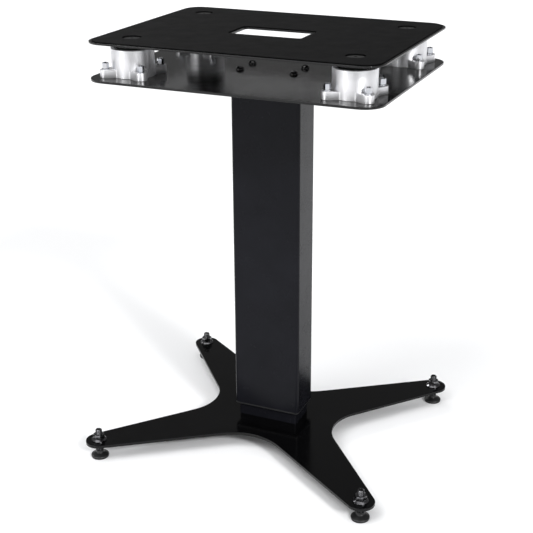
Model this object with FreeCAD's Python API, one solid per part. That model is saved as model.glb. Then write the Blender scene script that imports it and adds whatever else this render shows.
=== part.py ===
"""Motorised lifting pedestal stand: X-shaped base on levelling feet, two-part telescopic column,
lower plate, four isolation mounts and a padded top plate.

Millimetres, +Z up, +X right, front towards -Y. The origin is on the floor, under the column's centre.
The column is drawn fully down, which is the rest height.
"""
import FreeCAD, Part
import math
import os

Vec = FreeCAD.Vector
UP = Vec(0, 0, 1)

# ---------------------------------------------------------------- driving dimensions
FOOT_X = 249.5            # foot centres, half spacing left to right
FOOT_Y = 217.5            # foot centres, half spacing front to back

BASE_Z = 29.0             # underside of the base plate
BASE_T = 5.0
ARM_TIP_R = 24.0
ARM_SIDE_DEG = 50.0       # slope of the arm edges that face left and right
ARM_FRONT_DEG = 35.0      # slope of the arm edges that face front and back
HUB_X = 123.0             # half width of the hub between its left and right bays
HUB_Y = 93.5              # half depth of the hub between its front and back bays
BASE_SCREW_X, BASE_SCREW_Y = 40.0, 16.0

SOLE_R, SOLE_T = 15.5, 3.0
DISC_R = 16.0
DISC_HUB_R = 7.0
DISC_TOP = 14.0
STUD_NECK_R = 4.0
STUD_NECK_Z = 6.2         # lower end of the stud, inside the disc's socket
STUD_TOP = 55.4
INSERT_R, INSERT_SHANK_R, INSERT_H = 7.8, 7.0, 5.5

OUTER_X, OUTER_Y = 126.0, 71.0
OUTER_R = 6.0
INNER_X, INNER_Y = 114.0, 59.0
INNER_R = 4.0
TUBE_WALL = 3.0
BORE_R = 1.5              # corner radius inside the inner tube
OUTER_Z = 57.0            # lower end of the outer tube, fully down
OUTER_TOP = 682.5
INNER_TOP = 545.0
COLLAR_H = 3.5
COLLAR_LIP = 9.0
FOOT_BLOCK_H = 18.0
FOOT_BLOCK_BORE_R = 14.0
GUIDE_T = 2.6
GUIDE_H = 50.0
GUIDE_X = 36.0            # middle of a wide face's two guide strips, left and right
GUIDE_HALF_W = 10.0
GUIDE_END_HALF_W = 12.0
HEAD_T = 10.0
HEAD_SCREW_X, HEAD_SCREW_Y = 48.5, 25.25

SPINDLE_D = 14.0
SPINDLE_Z = 200.0
SPINDLE_TOP = 590.0
JOURNAL_R, JOURNAL_H = 5.5, 8.0
NUT_BODY_R, NUT_BODY_H = 12.0, 32.0
NUT_FLANGE_R, NUT_FLANGE_T = 19.0, 6.0
CARRIER_H = 14.0
BRACKET_Z, BRACKET_T = 566.0, 4.0
BRACKET_BORE_R = 16.0
GEARBOX_X, GEARBOX_Y, GEARBOX_R = 92.0, 50.0, 8.0
GEARBOX_SHIFT = 9.0       # how far the gearbox reaches to the motor's side
GEARBOX_TOP = 604.0
GEARBOX_SCREWS = [(-28.0, -18.0), (-28.0, 18.0), (46.0, -18.0), (46.0, 18.0)]
MOTOR_X, MOTOR_R, MOTOR_TOP = 26.0, 24.0, 662.0
GROMMET_Z, GROMMET_R = 636.0, 6.0

PLATE_X, PLATE_Y = 500.0, 386.0
PLATE_R = 35.0
LOWER_T = 4.0
PLATE_GAP = 57.0          # free height between the two plates
TOP_T = 3.0
MAT_T = 1.5
MAT_INSET = 5.0           # how far the mat stays back from every plate edge
CUTOUT_X, CUTOUT_Y = 124.0, 62.0
CUTOUT_R = 6.0
MAT_HOLE_D = 31.5

MOUNT_X = 191.5           # mount centres, half spacings
MOUNT_Y = 130.0
HOUSING_D = 71.0
HOUSING_H = 46.0
FLANGE_H = 13.0
LUG_PITCH = 32.5          # half of the square bolt spacing on a mount flange
LUG_R = 9.5
LUG_FLANK_DEG = 26.3      # slope of a lug's straight flanks, which run into the barrel
ISOLATOR_TRAVEL = 3.0
CUP_R = 29.5
CUP_FLOOR_H = 10.0        # height of the cup's floor above the lower plate
RUBBER_R = 27.0
CAP_R = 34.5

FIT = 0.06                # radial running clearance of a shaft in its hole
GAP = 0.3                 # free distance between faces that slide or turn past each other

# ---------------------------------------------------------------- fasteners
STUD_D = 12.0
FOOT_NUT_AF, FOOT_NUT_H, FOOT_NUT_FLANGE = 18.0, 12.0, 27.0
M8_R, M8_TAP_R, M8_HOLE_R = 4.0, 4.05, 4.3
BUTTON_M8_D, BUTTON_M8_H, BUTTON_M8_KEY = 14.0, 5.6, 5.0
COUNTERSUNK_M8_R = 6.6
M6_R, M6_NUT_BORE_R, M6_HOLE_R = 3.0, 3.05, 3.1
COUNTERSUNK_M6_R, COUNTERSUNK_M6_H = 6.0, 3.1
NUT_M6_AF, NUT_M6_H = 10.0, 9.0
WASHER_M6_D, WASHER_M6_T = 12.0, 1.6
M5_R, M5_TAP_R, M5_HOLE_R = 2.5, 2.55, 2.75

# ---------------------------------------------------------------- heights that follow
BASE_TOP = BASE_Z + BASE_T
LOWER_TOP = OUTER_TOP + LOWER_T
HOUSING_TOP = LOWER_TOP + HOUSING_H
FLANGE_TOP = LOWER_TOP + FLANGE_H
TOP_Z = LOWER_TOP + PLATE_GAP
TOP_TOP = TOP_Z + TOP_T
MAT_TOP = TOP_TOP + MAT_T
CUP_FLOOR = LOWER_TOP + CUP_FLOOR_H
CAP_Z = HOUSING_TOP + ISOLATOR_TRAVEL + 1.0
MOUNT_NUT_Z = FLANGE_TOP + WASHER_M6_T
MOUNT_NUT_TOP = MOUNT_NUT_Z + NUT_M6_H

CORNERS = {
    "front_left": (-1, -1),
    "front_right": (1, -1),
    "back_left": (-1, 1),
    "back_right": (1, 1),
}


# ---------------------------------------------------------------- shape helpers
def wire(points):
    """Closed wire through the points. ("via", p) bends the stretch between its neighbours into an arc."""
    loop = list(points) + [points[0]]
    edges = []
    start = loop[0]
    via = None
    for item in loop[1:]:
        if isinstance(item, tuple):
            via = item[1]
            continue
        if via is None:
            edges.append(Part.makeLine(start, item))
        else:
            edges.append(Part.Arc(start, via, item).toShape())
        start = item
        via = None
    return Part.Wire(edges)


def prism(points, z0, z1):
    """Upright prism over a closed outline drawn at height 0."""
    solid = Part.Face(wire(points)).extrude(Vec(0, 0, z1 - z0))
    solid.translate(Vec(0, 0, z0))
    return solid


def turned(profile, x=0.0, y=0.0):
    """Solid of revolution about a vertical axis; the profile is a list of (radius, z)."""
    points = [("via", Vec(p[1][0], 0, p[1][1])) if p[0] == "via" else Vec(p[0], 0, p[1]) for p in profile]
    solid = Part.Face(wire(points)).revolve(Vec(0, 0, 0), UP, 360)
    solid.translate(Vec(x, y, 0))
    return solid


def cylinder(radius, z0, z1, x=0.0, y=0.0):
    return Part.makeCylinder(radius, z1 - z0, Vec(x, y, z0))


def ring(outer, inner, z0, z1, x=0.0, y=0.0):
    return cylinder(outer, z0, z1, x, y).cut(cylinder(inner, z0, z1, x, y))


def box(x0, x1, y0, y1, z0, z1):
    return Part.makeBox(x1 - x0, y1 - y0, z1 - z0, Vec(x0, y0, z0))


def rounded_block(length, depth, radius, z0, z1):
    """Upright block with rounded vertical edges, centred on the column axis."""
    x, y = length / 2, depth / 2
    turn = radius * (1 - math.sqrt(0.5))
    points = []
    for sx, sy in ((1, 1), (-1, 1), (-1, -1), (1, -1)):
        long_end = Vec(sx * (x - radius), sy * y, 0)
        short_end = Vec(sx * x, sy * (y - radius), 0)
        corner = ("via", Vec(sx * (x - turn), sy * (y - turn), 0))
        points += [short_end, corner, long_end] if sx == sy else [long_end, corner, short_end]
    return prism(points, z0, z1)


def hexagon(across_flats, z0, z1, x=0.0, y=0.0, turn_deg=0.0):
    """Hexagonal prism with its corners chamfered at both ends."""
    radius = across_flats / math.sqrt(3)
    points = []
    for k in range(6):
        angle = math.radians(60 * k + turn_deg)
        points.append(Vec(radius * math.cos(angle), radius * math.sin(angle), 0))
    bevel = (radius - across_flats / 2) * 0.6
    envelope = turned([
        (0, z0), (across_flats / 2, z0), (radius, z0 + bevel),
        (radius, z1 - bevel), (across_flats / 2, z1), (0, z1),
    ])
    solid = prism(points, z0, z1).common(envelope)
    solid.translate(Vec(x, y, 0))
    return solid


def rounded_rim(solid, radius, levels):
    """Fillet every edge that lies flat at one of the given heights."""
    def flat_at_level(edge):
        lo, hi = edge.BoundBox.ZMin, edge.BoundBox.ZMax
        return hi - lo < 0.01 and any(abs(lo - z) < 0.01 for z in levels)
    return solid.makeFillet(radius, [edge for edge in solid.Edges if flat_at_level(edge)])


def at_corners(half_x, half_y):
    """The four mirrored positions of a rectangular pattern."""
    return [(sx * half_x, sy * half_y) for sx, sy in CORNERS.values()]


def bores(radius, z0, z1, spots):
    """Upright round holes of one size, for cutting."""
    return [cylinder(radius, z0, z1, x, y) for x, y in spots]


def group(solids):
    return Part.makeCompound(solids)


def tube_filler(z0, z1):
    """Block that fills the inner tube from wall to wall."""
    return rounded_block(INNER_X - 2 * TUBE_WALL, INNER_Y - 2 * TUBE_WALL, BORE_R, z0, z1)


def outer_tube_filler(z0, z1, play=0.0):
    """Block that fills the outer tube from wall to wall, less the play across it."""
    across = 2 * TUBE_WALL + play
    return rounded_block(OUTER_X - across, OUTER_Y - across, OUTER_R - TUBE_WALL, z0, z1)


def button_screw(x, y, seat_z, length, down=True):
    """Dome-headed socket screw; its head sits on seat_z and its shank runs down, or up."""
    radius = BUTTON_M8_D / 2
    head = turned([
        (0, 0), (radius, 0), (radius, 0.6),
        ("via", (radius * 0.85, BUTTON_M8_H * 0.64)), (radius * 0.48, BUTTON_M8_H), (0, BUTTON_M8_H),
    ])
    socket = hexagon(BUTTON_M8_KEY, BUTTON_M8_H - 2.6, BUTTON_M8_H + 1)
    screw = head.cut(socket).fuse(cylinder(M8_R, -length, 0))
    if not down:
        screw.rotate(Vec(0, 0, 0), Vec(1, 0, 0), 180)
    screw.translate(Vec(x, y, seat_z))
    return screw


# ---------------------------------------------------------------- base
def arm_outline(sx, sy):
    """One arm's outline: side bay tangent, round the tip, front or back bay tangent."""
    side_deg, front_deg = math.radians(ARM_SIDE_DEG), math.radians(ARM_FRONT_DEG)
    tip = Vec(sx * FOOT_X, sy * FOOT_Y, 0)
    side = Vec(sx * math.sin(side_deg), -sy * math.cos(side_deg), 0)
    front = Vec(-sx * math.sin(front_deg), sy * math.cos(front_deg), 0)
    outward = Vec(tip.x, tip.y, 0).normalize()

    side_apex = FOOT_X + ARM_TIP_R / math.sin(side_deg) - FOOT_Y / math.tan(side_deg)
    side_r = (HUB_X - side_apex) / (1 / math.sin(side_deg) - 1)
    side_bay = Vec(sx * (HUB_X + side_r), 0, 0)

    front_apex = FOOT_Y + ARM_TIP_R / math.cos(front_deg) - FOOT_X * math.tan(front_deg)
    front_r = (HUB_Y - front_apex) / (1 / math.cos(front_deg) - 1)
    front_bay = Vec(0, sy * (HUB_Y + front_r), 0)

    return [
        side_bay - side * side_r,
        tip + side * ARM_TIP_R, ("via", tip + outward * ARM_TIP_R), tip + front * ARM_TIP_R,
        front_bay - front * front_r,
    ]


def base_plate():
    """Laser-cut X plate with the bays between its arms rounded into the hub."""
    points = []
    points += arm_outline(1, 1) + [("via", Vec(0, HUB_Y, 0))]
    points += arm_outline(-1, 1)[::-1] + [("via", Vec(-HUB_X, 0, 0))]
    points += arm_outline(-1, -1) + [("via", Vec(0, -HUB_Y, 0))]
    points += arm_outline(1, -1)[::-1] + [("via", Vec(HUB_X, 0, 0))]
    plate = rounded_rim(prism(points, BASE_Z, BASE_TOP), 0.6, [BASE_TOP])
    holes = bores(INSERT_SHANK_R, BASE_Z, BASE_TOP, at_corners(FOOT_X, FOOT_Y))
    holes += bores(M8_HOLE_R, BASE_Z, BASE_TOP, at_corners(BASE_SCREW_X, BASE_SCREW_Y))
    return plate.cut(group(holes))


def base_screws():
    """Four M8 screws up through the base plate into the inner tube's foot block."""
    spots = at_corners(BASE_SCREW_X, BASE_SCREW_Y)
    reach = BASE_T + FOOT_BLOCK_H - 4.0
    return group([button_screw(x, y, BASE_Z, reach, down=False) for x, y in spots])


def inner_tube():
    outside = rounded_block(INNER_X, INNER_Y, INNER_R, BASE_TOP, INNER_TOP)
    return outside.cut(tube_filler(BASE_TOP, INNER_TOP))


def inner_tube_foot():
    """Block welded inside the inner tube's lower end, tapped for the base screws."""
    block_top = BASE_TOP + FOOT_BLOCK_H
    holes = bores(M8_TAP_R, BASE_TOP, block_top, at_corners(BASE_SCREW_X, BASE_SCREW_Y))
    holes.append(cylinder(FOOT_BLOCK_BORE_R, BASE_TOP, block_top))
    return tube_filler(BASE_TOP, block_top).cut(group(holes))


# ---------------------------------------------------------------- levelling feet
def foot_sole(x, y):
    """Rubber sole under the foot's disc."""
    return turned([
        (0, 0), (SOLE_R - 1.2, 0), ("via", (SOLE_R - 0.35, 0.35)), (SOLE_R, 1.2),
        (SOLE_R, SOLE_T), (0, SOLE_T),
    ], x, y)


def foot_disc(x, y):
    """Round foot with a domed top and a socket for the stud's neck."""
    disc = turned([
        (0, SOLE_T), (DISC_R, SOLE_T), (DISC_R, SOLE_T + 0.8), ("via", (DISC_R - 0.6, SOLE_T + 2.0)),
        (DISC_R - 2.0, SOLE_T + 2.6), (DISC_HUB_R + 1.6, SOLE_T + 5.6),
        ("via", (DISC_HUB_R + 0.4, SOLE_T + 6.6)), (DISC_HUB_R, SOLE_T + 8.2),
        (DISC_HUB_R, DISC_TOP), (0, DISC_TOP),
    ], x, y)
    return disc.cut(cylinder(STUD_NECK_R + FIT, STUD_NECK_Z - 0.2, DISC_TOP, x, y))


def foot_stud(x, y):
    """M12 levelling stud with a hexagon socket in its top end."""
    radius = STUD_D / 2
    shoulder = DISC_TOP + GAP
    stud = turned([
        (0, STUD_NECK_Z), (STUD_NECK_R, STUD_NECK_Z), (STUD_NECK_R, shoulder),
        (radius - 0.8, shoulder), (radius, shoulder + 0.8),
        (radius, STUD_TOP - 1.4), (radius - 1.4, STUD_TOP), (0, STUD_TOP),
    ], x, y)
    return stud.cut(hexagon(6.0, STUD_TOP - 6.0, STUD_TOP + 1, x, y, 30.0))


def foot_insert(x, y):
    """Threaded bush pressed into the base plate from below."""
    z0 = BASE_Z - INSERT_H
    bush = turned([
        (0, z0), (INSERT_R - 0.8, z0), (INSERT_R, z0 + 0.8), (INSERT_R, BASE_Z),
        (INSERT_SHANK_R, BASE_Z), (INSERT_SHANK_R, BASE_TOP), (0, BASE_TOP),
    ], x, y)
    return bush.cut(cylinder(STUD_D / 2 + FIT, z0, BASE_TOP, x, y))


def foot_lock_nut(x, y):
    """M12 nut with a wide flange that locks the stud from above."""
    flange_r = FOOT_NUT_FLANGE / 2
    flange = turned([
        (0, BASE_TOP), (flange_r - 0.3, BASE_TOP), (flange_r, BASE_TOP + 0.4),
        (flange_r, BASE_TOP + 1.6), (FOOT_NUT_AF / 2 + 0.6, BASE_TOP + 3.6), (0, BASE_TOP + 3.6),
    ], x, y)
    body = hexagon(FOOT_NUT_AF, BASE_TOP + 1.0, BASE_TOP + FOOT_NUT_H, x, y, 12.0)
    nut = flange.fuse(body)
    return nut.cut(cylinder(STUD_D / 2 + FIT, BASE_TOP, BASE_TOP + FOOT_NUT_H, x, y))


# ---------------------------------------------------------------- column
def outer_tube():
    tube = rounded_block(OUTER_X, OUTER_Y, OUTER_R, OUTER_Z + COLLAR_H, OUTER_TOP)
    tube = tube.cut(outer_tube_filler(OUTER_Z + COLLAR_H, OUTER_TOP))
    lead_hole_start = Vec(0, OUTER_Y / 2 - 2 * TUBE_WALL, GROMMET_Z)
    return tube.cut(Part.makeCylinder(GROMMET_R, 3 * TUBE_WALL, lead_hole_start, Vec(0, 1, 0)))


def column_end_collar():
    """Plastic end ring of the outer tube, with a lip that stands inside the tube."""
    z_lip = OUTER_Z + COLLAR_H + COLLAR_LIP
    rim = rounded_block(OUTER_X, OUTER_Y, OUTER_R, OUTER_Z, OUTER_Z + COLLAR_H)
    rim = rounded_rim(rim, 1.2, [OUTER_Z])
    lip = outer_tube_filler(OUTER_Z + COLLAR_H, z_lip, play=0.2)
    opening = rounded_block(INNER_X + 2 * GAP, INNER_Y + 2 * GAP, INNER_R + GAP, OUTER_Z, z_lip)
    return rim.fuse(lip).cut(opening)


def guide_strips(face_x, face_y, outwards, z0):
    """Glide strips on a rectangular tube: two on each wide face and one on each narrow face.

    They start on the faces at half sizes face_x and face_y and grow outwards (1) or inwards (-1).
    """
    def span(face, side):
        ends = sorted((side * face, side * (face + outwards * GUIDE_T)))
        return ends[0], ends[1]
    strips = []
    for side in (-1, 1):
        y0, y1 = span(face_y, side)
        for x in (-GUIDE_X, GUIDE_X):
            strips.append(box(x - GUIDE_HALF_W, x + GUIDE_HALF_W, y0, y1, z0, z0 + GUIDE_H))
        x0, x1 = span(face_x, side)
        strips.append(box(x0, x1, -GUIDE_END_HALF_W, GUIDE_END_HALF_W, z0, z0 + GUIDE_H))
    return group(strips)


def inner_tube_guides():
    return guide_strips(INNER_X / 2, INNER_Y / 2, 1, INNER_TOP - GUIDE_H - 5)


def outer_tube_guides():
    return guide_strips(OUTER_X / 2 - TUBE_WALL, OUTER_Y / 2 - TUBE_WALL, -1,
                        OUTER_Z + COLLAR_H + COLLAR_LIP + 1)


def nut_carrier():
    """Cap in the inner tube's top end that holds the spindle nut."""
    z0 = INNER_TOP - CARRIER_H
    return tube_filler(z0, INNER_TOP).cut(cylinder(NUT_BODY_R, z0, INNER_TOP))


def spindle_nut():
    """Flanged nut that the spindle turns in."""
    z0, z1 = INNER_TOP - NUT_BODY_H, INNER_TOP + NUT_FLANGE_T
    nut = turned([
        (0, z0), (NUT_BODY_R - 0.8, z0), (NUT_BODY_R, z0 + 0.8), (NUT_BODY_R, INNER_TOP),
        (NUT_FLANGE_R, INNER_TOP), (NUT_FLANGE_R, z1 - 1), (NUT_FLANGE_R - 1, z1), (0, z1),
    ])
    return nut.cut(cylinder(SPINDLE_D / 2 + FIT, z0, z1))


def column_head_plate():
    """Plate welded inside the outer tube's top end, tapped for the four head screws."""
    z0 = OUTER_TOP - HEAD_T
    taps = bores(M8_TAP_R, z0, OUTER_TOP, at_corners(HEAD_SCREW_X, HEAD_SCREW_Y))
    return outer_tube_filler(z0, OUTER_TOP).cut(group(taps))


def motor_bracket():
    """Shelf welded across the outer tube, which carries the gearbox."""
    z0, z1 = BRACKET_Z, BRACKET_Z + BRACKET_T
    holes = bores(M5_HOLE_R, z0, z1, GEARBOX_SCREWS)
    holes.append(cylinder(BRACKET_BORE_R, z0, z1))
    return outer_tube_filler(z0, z1).cut(group(holes))


def gearbox():
    """Spur gear housing between the motor and the spindle."""
    z0 = BRACKET_Z + BRACKET_T
    case = rounded_block(GEARBOX_X, GEARBOX_Y, GEARBOX_R, z0, GEARBOX_TOP)
    case.translate(Vec(GEARBOX_SHIFT, 0, 0))
    case = rounded_rim(case, 1.5, [GEARBOX_TOP])
    holes = bores(M5_TAP_R, z0, z0 + 12, GEARBOX_SCREWS)
    holes.append(cylinder(SPINDLE_D / 2 + FIT, z0, SPINDLE_TOP + 1))
    return case.cut(group(holes))


def gearbox_screws():
    """Four M5 socket screws up through the motor bracket."""
    solids = []
    for x, y in GEARBOX_SCREWS:
        head = cylinder(1.7 * M5_R, BRACKET_Z - 2 * M5_R, BRACKET_Z, x, y)
        head = head.cut(hexagon(4.0, BRACKET_Z - 2 * M5_R - 1, BRACKET_Z - M5_R, x, y))
        solids.append(head.fuse(cylinder(M5_R, BRACKET_Z, BRACKET_Z + BRACKET_T + 10, x, y)))
    return group(solids)


def motor():
    """Direct-current motor standing on the gearbox, with its brush cap."""
    return turned([
        (0, GEARBOX_TOP), (MOTOR_R - 2, GEARBOX_TOP), (MOTOR_R, GEARBOX_TOP + 2),
        (MOTOR_R, MOTOR_TOP - 10), (MOTOR_R - 3, MOTOR_TOP - 8), (MOTOR_R - 3, MOTOR_TOP - 2),
        (MOTOR_R - 5, MOTOR_TOP), (0, MOTOR_TOP),
    ], MOTOR_X, 0)


def spindle():
    """Trapezoidal lifting spindle, driven from its upper end."""
    radius = SPINDLE_D / 2
    return turned([
        (0, SPINDLE_Z), (JOURNAL_R, SPINDLE_Z), (JOURNAL_R, SPINDLE_Z + JOURNAL_H),
        (radius, SPINDLE_Z + JOURNAL_H),
        (radius, SPINDLE_TOP - 1), (radius - 1, SPINDLE_TOP), (0, SPINDLE_TOP),
    ])


def spindle_stop():
    """End washer that keeps the nut from running off the spindle."""
    return ring(NUT_BODY_R, JOURNAL_R, SPINDLE_Z + 1, SPINDLE_Z + JOURNAL_H - 1)


def cable_grommet():
    """Closed rubber grommet in the back wall of the outer tube, where the motor lead comes out."""
    wall_out, wall_in = OUTER_Y / 2, OUTER_Y / 2 - TUBE_WALL
    profile = [
        (0, wall_in - 2), (GROMMET_R + 2, wall_in - 2), (GROMMET_R + 2, wall_in),
        (GROMMET_R, wall_in), (GROMMET_R, wall_out),
        (GROMMET_R + 3, wall_out), (GROMMET_R + 2.4, wall_out + 1.8),
        (3.5, wall_out + 2.4), (3.0, wall_out + 0.6), (0, wall_out + 0.6),
    ]
    plug = turned(profile)
    plug.rotate(Vec(0, 0, 0), Vec(1, 0, 0), -90)
    plug.translate(Vec(0, 0, GROMMET_Z))
    return plug


# ---------------------------------------------------------------- lower plate and isolation mounts
def lug_spots():
    """Every flange bolt position, mount by mount."""
    spots = []
    for mx, my in at_corners(MOUNT_X, MOUNT_Y):
        spots += [(mx + dx, my + dy) for dx, dy in at_corners(LUG_PITCH, LUG_PITCH)]
    return spots


def lower_plate():
    plate = rounded_block(PLATE_X, PLATE_Y, PLATE_R, OUTER_TOP, LOWER_TOP)
    plate = rounded_rim(plate, 0.6, [OUTER_TOP, LOWER_TOP])
    holes = bores(M8_HOLE_R, OUTER_TOP, LOWER_TOP, at_corners(HEAD_SCREW_X, HEAD_SCREW_Y))
    for x, y in lug_spots():
        holes.append(turned([
            (0, OUTER_TOP), (COUNTERSUNK_M6_R + 0.2, OUTER_TOP),
            (M6_HOLE_R, OUTER_TOP + COUNTERSUNK_M6_H + 0.2), (M6_HOLE_R, LOWER_TOP), (0, LOWER_TOP),
        ], x, y))
    return plate.cut(group(holes))


def head_screws():
    """Four M8 dome screws that hold the lower plate on the column head."""
    spots = at_corners(HEAD_SCREW_X, HEAD_SCREW_Y)
    return group([button_screw(x, y, LOWER_TOP, LOWER_T + 9.5) for x, y in spots])


def mount_screws():
    """Countersunk M6 screws from under the lower plate up through the mount flanges."""
    end = MOUNT_NUT_TOP + 1.0
    solids = []
    for x, y in lug_spots():
        solids.append(turned([
            (0, OUTER_TOP), (COUNTERSUNK_M6_R, OUTER_TOP), (M6_R, OUTER_TOP + COUNTERSUNK_M6_H),
            (M6_R, end - 0.6), (M6_R - 0.6, end), (0, end),
        ], x, y))
    return group(solids)


def mount_washers():
    return group([
        ring(WASHER_M6_D / 2, M6_R + 0.2, FLANGE_TOP, MOUNT_NUT_Z, x, y) for x, y in lug_spots()
    ])


def mount_nuts():
    """High M6 hexagon nuts on the mount flanges."""
    solids = []
    for x, y in lug_spots():
        nut = hexagon(NUT_M6_AF, MOUNT_NUT_Z, MOUNT_NUT_TOP, x, y, 30.0)
        solids.append(nut.cut(cylinder(M6_NUT_BORE_R, MOUNT_NUT_Z, MOUNT_NUT_TOP, x, y)))
    return group(solids)


def flange_outline():
    """Four round lugs; the straight flanks of neighbouring lugs meet inside the barrel."""
    flank = math.radians(LUG_FLANK_DEG)
    touch_x = LUG_PITCH - LUG_R * math.sin(flank)
    touch_y = LUG_PITCH + LUG_R * math.cos(flank)
    meet = touch_y - touch_x * math.tan(flank)
    tip = LUG_PITCH + LUG_R * math.sqrt(0.5)
    points = []
    for sx, sy in ((1, 1), (-1, 1), (-1, -1), (1, -1)):
        side_end = Vec(sx * touch_y, sy * touch_x, 0)
        front_end = Vec(sx * touch_x, sy * touch_y, 0)
        lug = [side_end, ("via", Vec(sx * tip, sy * tip, 0)), front_end]
        points += lug + [Vec(0, sy * meet, 0)] if sx == sy else lug[::-1] + [Vec(sx * meet, 0, 0)]
    return points


def mount_housing(x, y):
    """Cup with a four-lug flange that holds the rubber element."""
    flange = prism(flange_outline(), LOWER_TOP, FLANGE_TOP)
    flange = rounded_rim(flange, 0.8, [FLANGE_TOP])
    barrel = rounded_rim(cylinder(HOUSING_D / 2, LOWER_TOP, HOUSING_TOP), 1.2, [HOUSING_TOP])
    body = flange.fuse(barrel)
    body = body.cut(cylinder(CUP_R, CUP_FLOOR, HOUSING_TOP))
    body = body.cut(group(bores(M6_R + 0.3, LOWER_TOP, FLANGE_TOP, at_corners(LUG_PITCH, LUG_PITCH))))
    body.translate(Vec(x, y, 0))
    return body


def mount_rubber(x, y):
    """Rubber spring element between the cup's floor and the cap."""
    bore = M8_R + 5
    return turned([
        (bore, CUP_FLOOR), (RUBBER_R, CUP_FLOOR), ("via", (RUBBER_R - 3, (CUP_FLOOR + CAP_Z) / 2)),
        (RUBBER_R, CAP_Z), (bore, CAP_Z),
    ], x, y)


def mount_cap(x, y):
    """Black cap disc that joins the rubber element to the top plate."""
    cap = turned([
        (0, CAP_Z), (CAP_R - 1.5, CAP_Z), (CAP_R, CAP_Z + 1.0), (CAP_R, TOP_Z - 2.2),
        (CAP_R - 1.2, TOP_Z - 1.8), (CAP_R - 1.2, TOP_Z), (0, TOP_Z),
    ], x, y)
    return cap.cut(cylinder(M8_TAP_R, CAP_Z, TOP_Z, x, y))


# ---------------------------------------------------------------- top plate
def top_plate():
    plate = rounded_block(PLATE_X, PLATE_Y, PLATE_R, TOP_Z, TOP_TOP)
    plate = rounded_rim(plate, 0.6, [TOP_Z, TOP_TOP])
    holes = [rounded_block(CUTOUT_X, CUTOUT_Y, CUTOUT_R, TOP_Z, TOP_TOP)]
    for x, y in at_corners(MOUNT_X, MOUNT_Y):
        holes.append(turned([
            (0, TOP_Z), (M8_HOLE_R, TOP_Z), (M8_HOLE_R, TOP_Z + 0.2), (COUNTERSUNK_M8_R + 0.3, TOP_TOP),
            (0, TOP_TOP),
        ], x, y))
    return plate.cut(group(holes))


def top_screws():
    """Countersunk M8 screws through the top plate into the mount caps."""
    solids = []
    for x, y in at_corners(MOUNT_X, MOUNT_Y):
        screw = turned([
            (0, CAP_Z), (M8_R, CAP_Z), (M8_R, TOP_Z + 0.2), (COUNTERSUNK_M8_R, TOP_TOP), (0, TOP_TOP),
        ], x, y)
        solids.append(screw.cut(hexagon(BUTTON_M8_KEY, TOP_TOP - 2.2, TOP_TOP + 1, x, y)))
    return group(solids)


def top_mat():
    """Soft mat on the top plate, cut back from the plate's rim, cut-out and mount screws."""
    inset = 2 * MAT_INSET
    mat = rounded_block(PLATE_X - inset, PLATE_Y - inset, PLATE_R - MAT_INSET, TOP_TOP, MAT_TOP)
    mat = rounded_rim(mat, 0.4, [MAT_TOP])
    holes = bores(MAT_HOLE_D / 2, TOP_TOP, MAT_TOP, at_corners(MOUNT_X, MOUNT_Y))
    holes.append(rounded_block(CUTOUT_X + inset, CUTOUT_Y + inset, CUTOUT_R + 3, TOP_TOP, MAT_TOP))
    return mat.cut(group(holes))


# ---------------------------------------------------------------- all nodes
SINGLE_NODES = [
    base_plate, base_screws, inner_tube, inner_tube_foot, inner_tube_guides, nut_carrier, spindle_nut,
    outer_tube, column_end_collar, outer_tube_guides, column_head_plate, cable_grommet,
    motor_bracket, gearbox, gearbox_screws, motor, spindle, spindle_stop,
    lower_plate, head_screws, mount_screws, mount_washers, mount_nuts,
    top_plate, top_screws, top_mat,
]
FOOT_NODES = [foot_sole, foot_disc, foot_stud]
FOOT_FASTENERS = {"foot_inserts": foot_insert, "foot_lock_nuts": foot_lock_nut}
MOUNT_NODES = [mount_housing, mount_rubber, mount_cap]


def build():
    nodes = {make.__name__: make() for make in SINGLE_NODES}
    for name, make in FOOT_FASTENERS.items():
        nodes[name] = group([make(x, y) for x, y in at_corners(FOOT_X, FOOT_Y)])
    for corner, (sx, sy) in CORNERS.items():
        for make in FOOT_NODES:
            nodes[f"{make.__name__}_{corner}"] = make(sx * FOOT_X, sy * FOOT_Y)
        for make in MOUNT_NODES:
            nodes[f"{make.__name__}_{corner}"] = make(sx * MOUNT_X, sy * MOUNT_Y)
    return nodes


os.makedirs("parts", exist_ok=True)
for name, shape in build().items():
    if not shape.isValid():
        print("not valid:", name)
    shape.exportStep(f"parts/{name}.step")
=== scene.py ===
"""Looks of the lifting pedestal stand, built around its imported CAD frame.

Metres, +Z up, +X right, front towards -Y. Positions come from the frame. The sizes below are those of
details that the CAD leaves plain, such as threads, chamfers and fillets.
"""
import math

import bmesh
import bpy
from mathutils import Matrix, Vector


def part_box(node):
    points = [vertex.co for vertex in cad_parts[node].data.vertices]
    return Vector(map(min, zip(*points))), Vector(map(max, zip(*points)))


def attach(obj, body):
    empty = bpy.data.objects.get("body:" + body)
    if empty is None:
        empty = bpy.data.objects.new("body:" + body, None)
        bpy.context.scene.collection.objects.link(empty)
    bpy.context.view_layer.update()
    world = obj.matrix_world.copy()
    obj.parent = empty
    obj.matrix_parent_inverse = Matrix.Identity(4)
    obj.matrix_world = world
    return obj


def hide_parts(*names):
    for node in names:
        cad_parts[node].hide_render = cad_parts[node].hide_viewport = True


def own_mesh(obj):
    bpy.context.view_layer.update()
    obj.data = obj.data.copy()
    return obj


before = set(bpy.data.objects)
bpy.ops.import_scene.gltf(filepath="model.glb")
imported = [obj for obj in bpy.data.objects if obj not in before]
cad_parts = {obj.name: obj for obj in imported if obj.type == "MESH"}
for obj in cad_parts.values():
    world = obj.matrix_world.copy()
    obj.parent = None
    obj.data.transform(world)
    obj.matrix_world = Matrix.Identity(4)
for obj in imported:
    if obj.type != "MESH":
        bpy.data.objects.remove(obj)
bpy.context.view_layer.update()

CORNERS = ("front_left", "front_right", "back_left", "back_right")
MM = 0.001

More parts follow.
